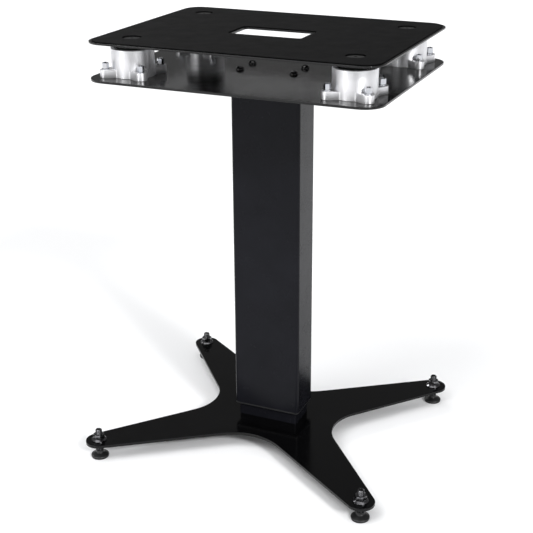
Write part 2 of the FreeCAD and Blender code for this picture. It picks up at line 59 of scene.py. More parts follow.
# ---------------------------------------------------------------- sizes of the added detail
SEGMENTS = 48                    # points round a turned piece, a multiple of 6 to keep hexagons' corners
THIN_SEGMENTS = 24               # the same for the thin screws and the spindle
ROUND_STEPS = 4                  # steps in a quarter-round edge
MERGE_DISTANCE = 1e-7            # points closer than this are one

LUG_PITCH = 32.5 * MM            # half the square bolt spacing on a mount flange
LUG_R = 9.5 * MM
LUG_FLANK = math.radians(26.3)   # slope of a lug's straight flanks
LUG_EDGE = 0.8 * MM              # rounding of the lugs' upper edges
LUG_FILLET = 1.2 * MM            # rounding where the barrel rises from a lug
FLANK_FILLET = 4.0 * MM          # rounding where a lug's flank runs into the barrel
FLANGE_H = 13.0 * MM
FLANGE_CHAMFER = 0.5 * MM        # round the flange's lower edge
BARREL_R = 35.5 * MM
BARREL_EDGE = 1.2 * MM
CUP_R = 29.5 * MM
CUP_DEPTH = 36.0 * MM
CUP_LIP = 0.6 * MM               # chamfer inside the cup's rim
CUP_CORNER = 1.5 * MM            # rounding between the cup's wall and floor
CUP_CORNER_MIDDLE = 0.4 * MM     # how far that rounding's middle is from both

RUBBER_R, RUBBER_WAIST_R = 27.0 * MM, 24.0 * MM
RUBBER_HOLE_R = 9.0 * MM
RUBBER_FOLDS = 3
RUBBER_ROWS = 30
RUBBER_FULLNESS = 0.7            # below 1 makes the folds rounder

STUD_R, STUD_PITCH = 6.0 * MM, 1.75 * MM
STUD_NECK_R, STUD_NECK_H = 4.0 * MM, 8.1 * MM
STUD_NECK_EDGE = 0.4 * MM
STUD_CHAMFER = 1.2 * MM
STUD_SOCKET, STUD_SOCKET_DEPTH = 6.0 * MM, 6.0 * MM
FOOT_NUT_ACROSS, FOOT_NUT_FLANGE_R = 18.0 * MM, 13.5 * MM
FOOT_NUT_TURNS = (12, 8, 33, 51)   # degrees, as the spanner left them, in the order of CORNERS
FOOT_NUT_BEVEL = 0.25 * MM

M6_R, M6_PITCH = 3.0 * MM, 1.0 * MM
M6_ACROSS = 10.0 * MM
M6_NUT_BEVEL = 0.18 * MM
M6_HEAD_R, M6_HEAD_H = 6.0 * MM, 3.1 * MM
M6_HEAD_EDGE = 0.3 * MM
M6_SOCKET, M6_SOCKET_DEPTH = 4.0 * MM, 2.2 * MM
M6_SOCKET_SINK = 0.3 * MM
M6_CHAMFER = 0.5 * MM
M6_THREAD_START = 1.5 * MM       # how far below the top of the nut the cut thread starts
WASHER_HOLE_R, WASHER_R = 3.2 * MM, 6.0 * MM
WASHER_EDGE = 0.25 * MM

HEXAGON_CORNERS = 1.155          # a hexagon's size across its corners, as a share of across its flats
SOCKET_SINK = 0.4 * MM           # countersink of a socket, unless it is given
DRILL_TIP = 1.12                 # depth at a socket's cone-shaped end, as a share of its flat depth
THREAD_SHARE = 0.61              # thread depth as a share of its pitch
CREST_SHARE = 0.12               # flat crest, as a share of half a pitch
FLANK_SHARE = 0.76               # sloping flank, on the same scale
NUT_BEVEL = math.tan(math.radians(30))
NUT_REACH = 0.99                 # a nut's round end faces, as a share of its size across flats
NUT_ENTRY = 0.5 * MM             # chamfer of a nut's bore
NUT_FLANGE_EDGE = 0.4 * MM
NUT_FLANGE_RIM = 1.5 * MM        # thickness of a nut flange at its rim
NUT_FLANGE_RISE = 2.2 * MM       # how much thicker it is at the hexagon

SPINDLE_R, SPINDLE_LEAD, SPINDLE_STARTS = 7.0 * MM, 8.0 * MM, 2
JOURNAL_R, JOURNAL_H = 5.5 * MM, 8.0 * MM
SPINDLE_DRIVE_H = 20.0 * MM      # plain upper end in the gearbox
SPINDLE_CHAMFER = 1.0 * MM

MAT_ROLL = 0.45 * MM             # rounding of the mat's edges
MAT_CORNER_R = 30.0 * MM
MAT_CORNER_STEPS = 14
MAT_CUTOUT_X, MAT_CUTOUT_Y = 67.0 * MM, 36.0 * MM    # half sizes of the opening
MAT_CUTOUT_R = 9.0 * MM
MAT_HOLE_R = 15.75 * MM


# ---------------------------------------------------------------- positions read from the frame
def middle(node):
    low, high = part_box(node)
    return (low + high) / 2


def bottom(node):
    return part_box(node)[0].z


def top(node):
    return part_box(node)[1].z


MOUNTS = [middle(f"mount_housing_{corner}") for corner in CORNERS]
FEET = [middle(f"foot_stud_{corner}") for corner in CORNERS]
LUGS = [
    (mount.x + side_x * LUG_PITCH, mount.y + side_y * LUG_PITCH)
    for mount in MOUNTS for side_x in (-1, 1) for side_y in (-1, 1)
]


# ---------------------------------------------------------------- mesh helpers
def loft(rings, segments=SEGMENTS, closed=False, angles=None):
    """Skin over a stack of rings, each (height, radius). Either may be a function of the angle.

    A radius of 0 is a single point. A closed stack joins its last ring to its first, as a nut does.
    """
    angles = angles or [2 * math.pi * k / segments for k in range(segments)]
    verts, rows = [], []
    for height, radius in rings:
        start = len(verts)
        if radius == 0:
            verts.append((0.0, 0.0, height))
        else:
            for angle in angles:
                r = radius(angle) if callable(radius) else radius
                z = height(angle) if callable(height) else height
                verts.append((r * math.cos(angle), r * math.sin(angle), z))
        rows.append(list(range(start, len(verts))))
    faces = []
    for low, high in zip(rows, rows[1:] + ([rows[0]] if closed else [])):
        for k in range(len(angles)):
            n = (k + 1) % len(angles)
            if len(low) == 1:
                faces.append((low[0], high[n], high[k]))
            elif len(high) == 1:
                faces.append((low[k], low[n], high[0]))
            else:
                faces.append((low[k], low[n], high[n], high[k]))
    return verts, faces


def moved(part, x, y, z, turn=0.0):
    """A part turned about the vertical and then shifted."""
    verts, faces = part
    c, s = math.cos(turn), math.sin(turn)
    return [(x + c * u - s * v, y + s * u + c * v, z + w) for u, v, w in verts], faces


def piece(name, parts, body, material, nodes, place=(0, 0, 0), sharp=30, bevel=0.0):
    """One object made of parts, which rides on a body and stands for CAD nodes.

    Edges steeper than sharp, in degrees, stay sharp, and are rounded by bevel where that is given.
    """
    verts, faces = [], []
    for part_verts, part_faces in parts:
        start = len(verts)
        verts += part_verts
        faces += [tuple(start + i for i in face) for face in part_faces]
    mesh = bpy.data.meshes.new(name)
    mesh.from_pydata(verts, [], faces)
    work = bmesh.new()
    work.from_mesh(mesh)
    bmesh.ops.remove_doubles(work, verts=work.verts, dist=MERGE_DISTANCE)
    bmesh.ops.dissolve_degenerate(work, edges=work.edges, dist=MERGE_DISTANCE)
    bmesh.ops.recalc_face_normals(work, faces=work.faces)
    work.to_mesh(mesh)
    work.free()
    mesh.shade_smooth()
    mesh.set_sharp_from_angle(angle=math.radians(sharp))
    obj = bpy.data.objects.new(name, mesh)
    bpy.context.scene.collection.objects.link(obj)
    obj.location = place
    mesh.materials.append(material)
    if bevel:
        edges = obj.modifiers.new("soft_edges", "BEVEL")
        edges.width = bevel
        edges.segments = 2
        edges.limit_method = "ANGLE"
        edges.angle_limit = math.radians(sharp)
        edges.harden_normals = True
    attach(obj, body)
    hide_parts(*nodes)
    return obj


def hexagon(across):
    """Radius of a hexagon as a function of the angle, with a corner at angle 0."""
    def radius(angle):
        return across / 2 / math.cos(angle % (math.pi / 3) - math.pi / 6)
    return radius


def quarter_turns():
    return [math.pi / 2 * k / ROUND_STEPS for k in range(ROUND_STEPS + 1)]


def rounding(r0, z0, r1, z1):
    """Quarter-round rings from (r0, z0), which leaves upwards, to (r1, z1), which it reaches level."""
    return [
        (z0 + (z1 - z0) * math.sin(turn), r1 + (r0 - r1) * math.cos(turn))
        for turn in quarter_turns()
    ]


def thread(radius, pitch, z0, z1, chamfer, starts=1, rows=10):
    """Rings of a right-hand outside thread, rows to a pitch, with both ends turned down by a chamfer."""
    depth = THREAD_SHARE * pitch
    lead = pitch * starts
    count = round((z1 - z0) / pitch * rows)

    def ring(z):
        limit = radius - max(0.0, chamfer - (z - z0), chamfer - (z1 - z))

        def profile(angle):
            phase = starts * (z / lead - angle / (2 * math.pi)) % 1.0
            groove = min(1.0, max(0.0, (abs(2 * phase - 1) - CREST_SHARE) / FLANK_SHARE))
            return min(limit, radius - depth * groove)
        return z, profile
    return [ring(z0 + (z1 - z0) * k / count) for k in range(count + 1)]


def socket(across, z_face, depth, sink=SOCKET_SINK):
    """Rings of a hexagon socket that is entered from the face at z_face; depth is negative downwards."""
    way = math.copysign(1, depth)
    return [
        (z_face, across / 2 * HEXAGON_CORNERS + sink),
        (z_face + way * sink, hexagon(across)),
        (z_face + depth, hexagon(across)),
        (z_face + depth * DRILL_TIP, 0),
    ]


# ---------------------------------------------------------------- finishes
MIX_FIRST, MIX_SECOND, MIX_RESULT = 6, 7, 2    # where Blender's Mix node keeps its colour sockets
WAVE_SCALE = 0.05                # at this scale its wave texture repeats every 2 pi metres


def scaled(color, factor):
    return tuple(channel * factor for channel in color)


class Finish:
    """A procedural material under construction. Its short calls return output sockets."""

    def __init__(self, name, color, roughness, metallic=0.0, specular=0.5):
        self.material = bpy.data.materials.new(name)
        self.material.use_nodes = True
        self.material.diffuse_color = (*color, 1.0)
        self.tree = self.material.node_tree
        self.shader = next(node for node in self.tree.nodes if node.type == "BSDF_PRINCIPLED")
        self.shader.inputs["Base Color"].default_value = (*color, 1.0)
        self.shader.inputs["Roughness"].default_value = roughness
        self.shader.inputs["Metallic"].default_value = metallic
        self.shader.inputs["Specular IOR Level"].default_value = specular
        self.place = self.add("ShaderNodeTexCoord").outputs["Object"]
        self.roughness = roughness

    def add(self, kind, **inputs):
        node = self.tree.nodes.new(kind)
        for name, value in inputs.items():
            self.feed(node.inputs[name.replace("_", " ")], value)
        return node

    def feed(self, socket_in, value):
        if isinstance(value, bpy.types.NodeSocket):
            self.tree.links.new(value, socket_in)
        else:
            socket_in.default_value = value

    def noise(self, size, detail, stretch=(1, 1, 1)):
        """Noise from 0 to 1 with features about size metres across, longer where stretch is small."""
        mapping = self.add("ShaderNodeMapping", Vector=self.place, Scale=stretch)
        return self.add("ShaderNodeTexNoise", Vector=mapping.outputs["Vector"], Scale=1 / size,
                        Detail=detail).outputs["Fac"]

    def rings(self, size):
        """Turning marks: circles about the piece's own vertical axis, 2 pi times size apart."""
        wave = self.add("ShaderNodeTexWave", Vector=self.place, Scale=WAVE_SCALE / size, Distortion=1.0,
                        Detail=2.0, Detail_Scale=1.5)
        wave.wave_type = "RINGS"
        wave.rings_direction = "Z"
        return wave.outputs["Fac"]

    def spread(self, value, low, high, start=0.3, end=0.7):
        """Value mapped from start..end to low..high, held at both ends."""
        return self.add("ShaderNodeMapRange", Value=value, From_Min=start, From_Max=end, To_Min=low,
                        To_Max=high).outputs["Result"]

    def mixed(self, factor, first, second):
        """Colour between first and second, each a socket or a plain colour."""
        node = self.add("ShaderNodeMix")
        node.data_type = "RGBA"
        self.feed(node.inputs["Factor"], factor)
        for place, color in ((MIX_FIRST, first), (MIX_SECOND, second)):
            if not isinstance(color, bpy.types.NodeSocket):
                color = (*color, 1.0)
            self.feed(node.inputs[place], color)
        return node.outputs[MIX_RESULT]

    def times(self, first, second):
        node = self.add("ShaderNodeMath")
        node.operation = "MULTIPLY"
        self.feed(node.inputs[0], first)
        self.feed(node.inputs[1], second)
        return node.outputs["Value"]

    def edges(self, width):
        """1 along edges, 0 on open faces."""
        bevel = self.add("ShaderNodeBevel", Radius=width)
        bevel.samples = 4
        dot = self.add("ShaderNodeVectorMath")
        dot.operation = "DOT_PRODUCT"
        self.feed(dot.inputs[0], bevel.outputs["Normal"])
        self.feed(dot.inputs[1], self.add("ShaderNodeNewGeometry").outputs["Normal"])
        return self.spread(dot.outputs["Value"], 1.0, 0.0, start=0.75, end=0.97)

    def clouded(self, color, size, dark, light, detail=3.0):
        """Color with slow cloudy changes between dark and light times its value."""
        cloud = self.noise(size, detail)
        return self.mixed(self.spread(cloud, 0, 1), scaled(color, dark), scaled(color, light))

    def edge_wear_and_highlight(self, shade, wear_and_highlight_color, width, amount):
        """Shade that turns towards the given edge colour, by amount, along edges: partly edge wear,
        partly a painted highlight along the edges.
        """
        return self.mixed(self.times(self.edges(width), amount), shade, wear_and_highlight_color)

    def relief(self, height, depth, strength):
        """Bump from a height socket; calls stack on each other."""
        bump = self.add("ShaderNodeBump", Height=height, Distance=depth, Strength=strength)
        normal = self.shader.inputs["Normal"]
        if normal.is_linked:
            self.feed(bump.inputs["Normal"], normal.links[0].from_socket)
        self.feed(normal, bump.outputs["Normal"])

    def paint(self, color):
        self.feed(self.shader.inputs["Base Color"], color)

    def vary_roughness(self, amount, size):
        cloud = self.noise(size, detail=3.0)
        low, high = self.roughness - amount, self.roughness + amount
        self.feed(self.shader.inputs["Roughness"], self.spread(cloud, low, high))


def powder_coat(name, color, roughness, specular):
    """Black powder coat: fine orange peel, slow cloudy shade changes and lighter edges, partly thinner
    paint and partly a painted edge highlight.
    """
    finish = Finish(name, color, roughness, specular=specular)
    shade = finish.clouded(color, size=60 * MM, dark=0.85, light=1.2)
    finish.paint(finish.edge_wear_and_highlight(shade, scaled(color, 1.8), width=0.8 * MM, amount=0.4))
    finish.vary_roughness(0.04, size=25 * MM)
    finish.relief(finish.noise(1.6 * MM, detail=1.0), depth=0.03 * MM, strength=0.35)
    finish.relief(finish.noise(0.35 * MM, detail=1.0), depth=0.01 * MM, strength=0.25)
    return finish.material


def mat_rubber():
    """Matt anti-slip rubber: close even grain, faint clouds and fine lighter specks."""
    color = (0.0028, 0.0028, 0.0030)
    finish = Finish("mat_rubber", color, 0.52, specular=0.07)
    shade = finish.clouded(color, size=90 * MM, dark=0.9, light=1.15, detail=4.0)
    specks = finish.spread(finish.noise(0.5 * MM, detail=1.0), 0, 0.35, start=0.55, end=0.75)
    finish.paint(finish.mixed(specks, shade, scaled(color, 2.0)))
    finish.vary_roughness(0.05, size=40 * MM)
    finish.relief(finish.noise(0.7 * MM, detail=2.0), depth=0.12 * MM, strength=0.5)
    return finish.material


def satin_aluminium():
    """Turned aluminium with a satin anodised skin: level turning lines, faint clouds, and brighter edges
    that are partly wear and partly a painted highlight.
    """
    color = (0.90, 0.90, 0.92)
    finish = Finish("satin_aluminium", color, 0.42, metallic=0.9)
    finish.shader.inputs["Anisotropic"].default_value = 0.65
    finish.shader.inputs["Anisotropic Rotation"].default_value = 0.25    # spreads reflections up and down
    shade = finish.clouded(color, size=18 * MM, dark=0.95, light=1.03)
    finish.paint(finish.edge_wear_and_highlight(shade, scaled(color, 1.1), width=0.7 * MM, amount=0.5))
    lines = finish.noise(0.35 * MM, detail=2.0, stretch=(0.03, 0.03, 1))
    finish.feed(finish.shader.inputs["Roughness"], finish.spread(lines, 0.39, 0.45))
    finish.relief(lines, depth=0.01 * MM, strength=0.2)
    finish.relief(finish.noise(0.4 * MM, detail=1.0), depth=0.01 * MM, strength=0.15)
    return finish.material


def plated_steel(name, color, tint, roughness):
    """Plated fastener: turning marks, colour that drifts towards the tint, and lighter corners, partly
    rubbed and partly a painted highlight.
    """
    finish = Finish(name, color, roughness, metallic=1.0)
    drift = finish.spread(finish.noise(7 * MM, detail=2.0), 0, 1)
    shade = finish.mixed(drift, color, tint)
    finish.paint(finish.edge_wear_and_highlight(shade, scaled(color, 1.35), width=0.4 * MM, amount=0.5))
    finish.vary_roughness(0.06, size=3 * MM)
    marks = finish.noise(0.5 * MM, detail=2.0, stretch=(1, 1, 0.15))
    finish.relief(marks, depth=0.02 * MM, strength=0.25)
    return finish.material


def black_steel():
    """Oiled black-oxide steel of the dome screws, with lighter edges that are partly wear and partly a
    painted highlight.
    """
    color = (0.003, 0.003, 0.0033)
    finish = Finish("black_oxide", color, 0.08, specular=0.45)
    finish.paint(finish.edge_wear_and_highlight(color, (0.012, 0.012, 0.0125), width=0.5 * MM, amount=0.4))
    finish.vary_roughness(0.03, size=4 * MM)
    finish.relief(finish.rings(0.4 * MM), depth=0.01 * MM, strength=0.1)
    return finish.material


def machined_steel(name, color, roughness):
    """Bare machined metal with long fine tool marks."""
    finish = Finish(name, color, roughness, metallic=1.0)
    marks = finish.noise(0.8 * MM, detail=3.0, stretch=(1, 0.08, 1))
    finish.paint(finish.mixed(finish.spread(marks, 0, 1), scaled(color, 0.85), scaled(color, 1.1)))
    finish.vary_roughness(0.07, size=5 * MM)
    finish.relief(marks, depth=0.02 * MM, strength=0.3)
    return finish.material


def moulded(name, color, roughness):
    """Moulded plastic with a fine spark-eroded grain and lighter edges, partly wear and partly a painted
    highlight.
    """
    finish = Finish(name, color, roughness, specular=0.45)
    shade = finish.clouded(color, size=20 * MM, dark=0.88, light=1.12)
    finish.paint(finish.edge_wear_and_highlight(shade, scaled(color, 1.8), width=0.6 * MM, amount=0.5))
    finish.vary_roughness(0.06, size=8 * MM)
    finish.relief(finish.noise(0.6 * MM, detail=2.0), depth=0.03 * MM, strength=0.4)
    return finish.material


def soft_rubber():
    """Moulded rubber, dull, with a faint pale bloom."""
    color = (0.014, 0.014, 0.0145)
    finish = Finish("soft_rubber", color, 0.72, specular=0.3)
    bloom = finish.spread(finish.noise(12 * MM, detail=4.0), 0, 0.5, start=0.45, end=0.8)
    finish.paint(finish.mixed(bloom, color, (0.035, 0.035, 0.036)))
    finish.vary_roughness(0.08, size=10 * MM)
    finish.relief(finish.noise(0.8 * MM, detail=2.0), depth=0.05 * MM, strength=0.4)
    return finish.material


BLACK = (0.0012, 0.0012, 0.0014)
SATIN_BLACK = (0.0062, 0.0064, 0.0086)
FINISHES = {
    "satin_coat": powder_coat("satin_coat", SATIN_BLACK, roughness=0.25, specular=0.100),
    "smooth_coat": powder_coat("smooth_coat", BLACK, roughness=0.15, specular=0.24),
    "gloss_coat": powder_coat("gloss_coat", BLACK, roughness=0.15, specular=0.36),
    "mat": mat_rubber(),
    "aluminium": satin_aluminium(),
    "bright_zinc": plated_steel("bright_zinc", (0.56, 0.56, 0.575), (0.46, 0.48, 0.52), roughness=0.07),
    "dark_steel": plated_steel("dark_steel", (0.21, 0.21, 0.215), (0.15, 0.15, 0.16), roughness=0.20),
    "black_steel": black_steel(),
    "machined": machined_steel("machined", (0.50, 0.50, 0.51), roughness=0.32),
    "bronze": machined_steel("bronze", (0.55, 0.36, 0.14), roughness=0.35),
    "motor_paint": moulded("motor_paint", (0.10, 0.10, 0.11), roughness=0.40),
    "acetal": moulded("acetal", (0.75, 0.75, 0.72), roughness=0.45),
    "nylon": moulded("nylon", (0.012, 0.012, 0.0125), roughness=0.38),
    "rubber": soft_rubber(),
}
FOOT_DISCS = [f"foot_disc_{corner}" for corner in CORNERS]
FOOT_SOLES = [f"foot_sole_{corner}" for corner in CORNERS]
MOUNT_CAPS = [f"mount_cap_{corner}" for corner in CORNERS]
NODE_FINISHES = {
    "satin_coat": ("inner_tube", "outer_tube"),
    "smooth_coat": ("base_plate",),
    "gloss_coat": ("lower_plate", "top_plate"),
    "black_steel": ("base_screws", "head_screws", "top_screws"),
    "machined": ("inner_tube_foot", "nut_carrier", "column_head_plate", "motor_bracket"),
    "bronze": ("spindle_nut",),
    "acetal": ("inner_tube_guides", "outer_tube_guides"),
    "aluminium": ("gearbox",),
    "bright_zinc": ("gearbox_screws", "spindle_stop"),
    "dark_steel": ("foot_inserts",),
    "motor_paint": ("motor",),
    "nylon": ("column_end_collar", *FOOT_DISCS, *MOUNT_CAPS),
    "rubber": ("cable_grommet", *FOOT_SOLES),
}
for finish_name, nodes in NODE_FINISHES.items():
    for node in nodes:
        for material_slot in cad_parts[node].material_slots:
            material_slot.material = FINISHES[finish_name]


# ---------------------------------------------------------------- levelling feet
def stud_part(height):
    """Levelling stud drawn upwards from 0: plain neck, thread, hexagon socket in the top end."""
    return loft([
        (0.0, 0),
        (0.0, STUD_NECK_R - STUD_NECK_EDGE),
        (STUD_NECK_EDGE, STUD_NECK_R),
        (STUD_NECK_H, STUD_NECK_R),
        *thread(STUD_R, STUD_PITCH, STUD_NECK_H, height, STUD_CHAMFER),
        *socket(STUD_SOCKET, height, -STUD_SOCKET_DEPTH),
    ])


def hex_nut(across, bore, height, flange_r=0.0):
    """Closed skin of a nut standing on 0, with chamfered ends, or with a cone-shaped flange below."""
    outline = hexagon(across)
    reach = across / 2 * NUT_REACH

    def chamfer_top(angle):
        return height - (outline(angle) - reach) * NUT_BEVEL

    def chamfer_bottom(angle):
        return (outline(angle) - reach) * NUT_BEVEL

    def flange_meets(angle):
        share = (flange_r - outline(angle)) / (flange_r - across / 2)
        return NUT_FLANGE_RIM + NUT_FLANGE_RISE * share

    if flange_r:
        foot = [
            (0.0, flange_r - NUT_FLANGE_EDGE),
            (NUT_FLANGE_EDGE, flange_r),
            (NUT_FLANGE_RIM, flange_r),
            (flange_meets, outline),
        ]
    else:
        foot = [(0.0, reach), (chamfer_bottom, outline)]
    return loft([
        (NUT_ENTRY, bore),
        (0.0, bore + NUT_ENTRY),
        *foot,
        (chamfer_top, outline),
        (height, reach),
        (height, bore + NUT_ENTRY),
        (height - NUT_ENTRY, bore),
    ], closed=True)


def build_feet():
    stud_low, stud_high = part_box("foot_stud_front_left")
    stud = stud_part(stud_high.z - stud_low.z)
    for corner, foot in zip(CORNERS, FEET):
        piece(f"levelling_stud_{corner}", [stud], f"stud_{corner}", FINISHES["dark_steel"],
              [f"foot_stud_{corner}"], place=(foot.x, foot.y, stud_low.z))
    seat = bottom("foot_lock_nuts")
    height = top("foot_lock_nuts") - seat
    nut = hex_nut(FOOT_NUT_ACROSS, STUD_R, height, FOOT_NUT_FLANGE_R)
    nuts = [
        moved(nut, foot.x, foot.y, seat, math.radians(turn))
        for foot, turn in zip(FEET, FOOT_NUT_TURNS)
    ]
    piece("levelling_lock_nuts", nuts, "base", FINISHES["dark_steel"], ["foot_lock_nuts"],
          bevel=FOOT_NUT_BEVEL)


# ---------------------------------------------------------------- isolation mounts
# One side of the flange outline is drawn with "out" square to the side and "along" it from its middle.
# It runs from the barrel through a fillet to a lug's straight flank and round the lug to the corner.
FLANK_SLOPE = math.tan(LUG_FLANK)
LUG_ALONG = LUG_PITCH - LUG_R * math.sin(LUG_FLANK)    # where the flank touches its lug
LUG_OUT = LUG_PITCH + LUG_R * math.cos(LUG_FLANK)
FLANKS_MEET = LUG_OUT - LUG_ALONG * FLANK_SLOPE        # where the flank's line crosses the side's middle
FILLET_REACH = BARREL_R + FLANK_FILLET                 # from the housing's axis to the fillet's centre
FILLET_TURN = math.acos((FLANKS_MEET * math.cos(LUG_FLANK) + FLANK_FILLET) / FILLET_REACH) - LUG_FLANK
FILLET_OUT = FILLET_REACH * math.cos(FILLET_TURN)
FILLET_ALONG = FILLET_REACH * math.sin(FILLET_TURN)
FLANK_TURN = math.atan((FILLET_ALONG + FLANK_FILLET * math.sin(LUG_FLANK))
                       / (FILLET_OUT - FLANK_FILLET * math.cos(LUG_FLANK)))
LUG_TURN = math.atan(LUG_ALONG / LUG_OUT)


def flange_radius(angle):
    """Outline of the mount flange, by symmetry from half a side: barrel, fillet, flank and lug."""
    angle = abs((angle + math.pi / 4) % (math.pi / 2) - math.pi / 4)
    c, s = math.cos(angle), math.sin(angle)
    if angle <= FILLET_TURN:
        return BARREL_R
    if angle <= FLANK_TURN:
        near = FILLET_OUT * c + FILLET_ALONG * s
        return near - math.sqrt(near ** 2 - FILLET_OUT ** 2 - FILLET_ALONG ** 2 + FLANK_FILLET ** 2)
    if angle <= LUG_TURN:
        return FLANKS_MEET / (c - s * FLANK_SLOPE)
    near = LUG_PITCH * (c + s)
    return near + math.sqrt(near ** 2 - 2 * LUG_PITCH ** 2 + LUG_R ** 2)


def flange_angles():
    """Angles round the housing, with a point wherever the flange outline changes."""
    quarter = math.pi / 2
    turns = (0.0, FILLET_TURN, FLANK_TURN, LUG_TURN)
    stops = (*turns, *(quarter - turn for turn in reversed(turns)))
    counts = (5, 5, 3, 14, 3, 5, 5)    # points on each stretch
    angles = []
    for side in range(4):
        for start, end, count in zip(stops, stops[1:], counts):
            angles += [side * quarter + start + (end - start) * k / count for k in range(count)]
    return angles


def housing_part(height):
    """Turned cup with its lug flange, drawn upwards from 0."""
    def room(angle):
        return (flange_radius(angle) - BARREL_R) / 2

    def edge(angle):
        return min(LUG_EDGE, room(angle))

    def fillet(angle):
        return min(LUG_FILLET, room(angle))

    lug_edge = [
        (lambda a, t=turn: FLANGE_H - edge(a) * (1 - math.sin(t)),
         lambda a, t=turn: flange_radius(a) - edge(a) * (1 - math.cos(t)))
        for turn in quarter_turns()
    ]
    lug_fillet = [
        (lambda a, t=turn: FLANGE_H + fillet(a) * (1 - math.cos(t)),
         lambda a, t=turn: BARREL_R + fillet(a) * (1 - math.sin(t)))
        for turn in quarter_turns()
    ]
    floor = height - CUP_DEPTH
    return loft([
        (0.0, 0),
        (0.0, lambda a: flange_radius(a) - FLANGE_CHAMFER),
        (FLANGE_CHAMFER, flange_radius),
        *lug_edge,
        *lug_fillet,
        *rounding(BARREL_R, height - BARREL_EDGE, BARREL_R - BARREL_EDGE, height),
        (height, CUP_R + CUP_LIP),
        (height - CUP_LIP, CUP_R),
        (floor + CUP_CORNER, CUP_R),
        (floor + CUP_CORNER_MIDDLE, CUP_R - CUP_CORNER_MIDDLE),
        (floor, CUP_R - CUP_CORNER),
        (floor, 0),
    ], angles=flange_angles())


def rubber_part(height):
    """Rubber spring with soft folds, drawn upwards from 0."""
    rings = [(0.0, RUBBER_HOLE_R)]
    for k in range(RUBBER_ROWS + 1):
        share = k / RUBBER_ROWS
        swell = abs(math.cos(RUBBER_FOLDS * math.pi * share)) ** RUBBER_FULLNESS
        rings.append((height * share, RUBBER_WAIST_R + (RUBBER_R - RUBBER_WAIST_R) * swell))
    rings.append((height, RUBBER_HOLE_R))
    return loft(rings, closed=True)


def mount_screw_part(height, nut_top):
    """Countersunk screw from 0 up, head down; its thread is cut where it shows above the nut."""
    shank_end = nut_top - M6_THREAD_START
    drive = socket(M6_SOCKET, 0.0, M6_SOCKET_DEPTH, M6_SOCKET_SINK)
    return loft([
        *reversed(drive),
        (0.0, M6_HEAD_R - M6_HEAD_EDGE),
        (M6_HEAD_EDGE, M6_HEAD_R - M6_HEAD_EDGE),
        (M6_HEAD_H, M6_R),
        (shank_end, M6_R),
        *thread(M6_R, M6_PITCH, shank_end, height, M6_CHAMFER),
        (height, 0),
    ], segments=THIN_SEGMENTS)


def washer_part(height):
    return loft([
        (0.0, WASHER_HOLE_R),
        (0.0, WASHER_R - WASHER_EDGE),
        (WASHER_EDGE, WASHER_R),
        (height - WASHER_EDGE, WASHER_R),
        (height, WASHER_R - WASHER_EDGE),
        (height, WASHER_HOLE_R),
    ], closed=True)


def build_housings():
    seat = bottom("mount_housing_front_left")
    housing = housing_part(top("mount_housing_front_left") - seat)
    rubber_low = bottom("mount_rubber_front_left")
    rubber = rubber_part(top("mount_rubber_front_left") - rubber_low)
    for corner, mount in zip(CORNERS, MOUNTS):
        piece(f"isolator_housing_{corner}", [housing], "lift", FINISHES["aluminium"],
              [f"mount_housing_{corner}"], place=(mount.x, mount.y, seat), sharp=35)
        spring = piece(f"isolator_rubber_{corner}", [rubber], "lift", FINISHES["rubber"],
                       [f"mount_rubber_{corner}"], place=(mount.x, mount.y, rubber_low))
        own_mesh(spring)


def build_flange_fasteners():
    screw_low = bottom("mount_screws")
    nut_low = bottom("mount_nuts")
    nut_high = top("mount_nuts")
    washer_low = bottom("mount_washers")
    screw = mount_screw_part(top("mount_screws") - screw_low, nut_high - screw_low)
    nut = hex_nut(M6_ACROSS, M6_R, nut_high - nut_low)
    washer = washer_part(nut_low - washer_low)
    screws, nuts, washers = [], [], []
    for k, (x, y) in enumerate(LUGS):
        turn = math.radians(16 + 5 * k % 14)    # within 7 degrees of 23, as the spanner left them
        screws.append(moved(screw, x, y, screw_low, turn))
        nuts.append(moved(nut, x, y, nut_low, turn))
        washers.append(moved(washer, x, y, washer_low))
    zinc = FINISHES["bright_zinc"]
    piece("mount_bolts", screws, "lift", zinc, ["mount_screws"])
    piece("mount_high_nuts", nuts, "lift", zinc, ["mount_nuts"], bevel=M6_NUT_BEVEL)
    piece("mount_flat_washers", washers, "lift", zinc, ["mount_washers"])


# ---------------------------------------------------------------- mat and spindle
def rounded_outline(half_x, half_y, radius, steps=8):
    """Points round a rectangle with rounded corners, anticlockwise."""
    points = []
    for k, (sx, sy) in enumerate(((1, 1), (-1, 1), (-1, -1), (1, -1))):
        for step in range(steps + 1):
            angle = math.pi / 2 * (k + step / steps)
            points.append((sx * (half_x - radius) + radius * math.cos(angle),
                           sy * (half_y - radius) + radius * math.sin(angle)))
    return points


def circle_outline(x, y, radius, count=40):
    angles = [2 * math.pi * k / count for k in range(count)]
    return [(x + radius * math.cos(angle), y + radius * math.sin(angle)) for angle in angles]


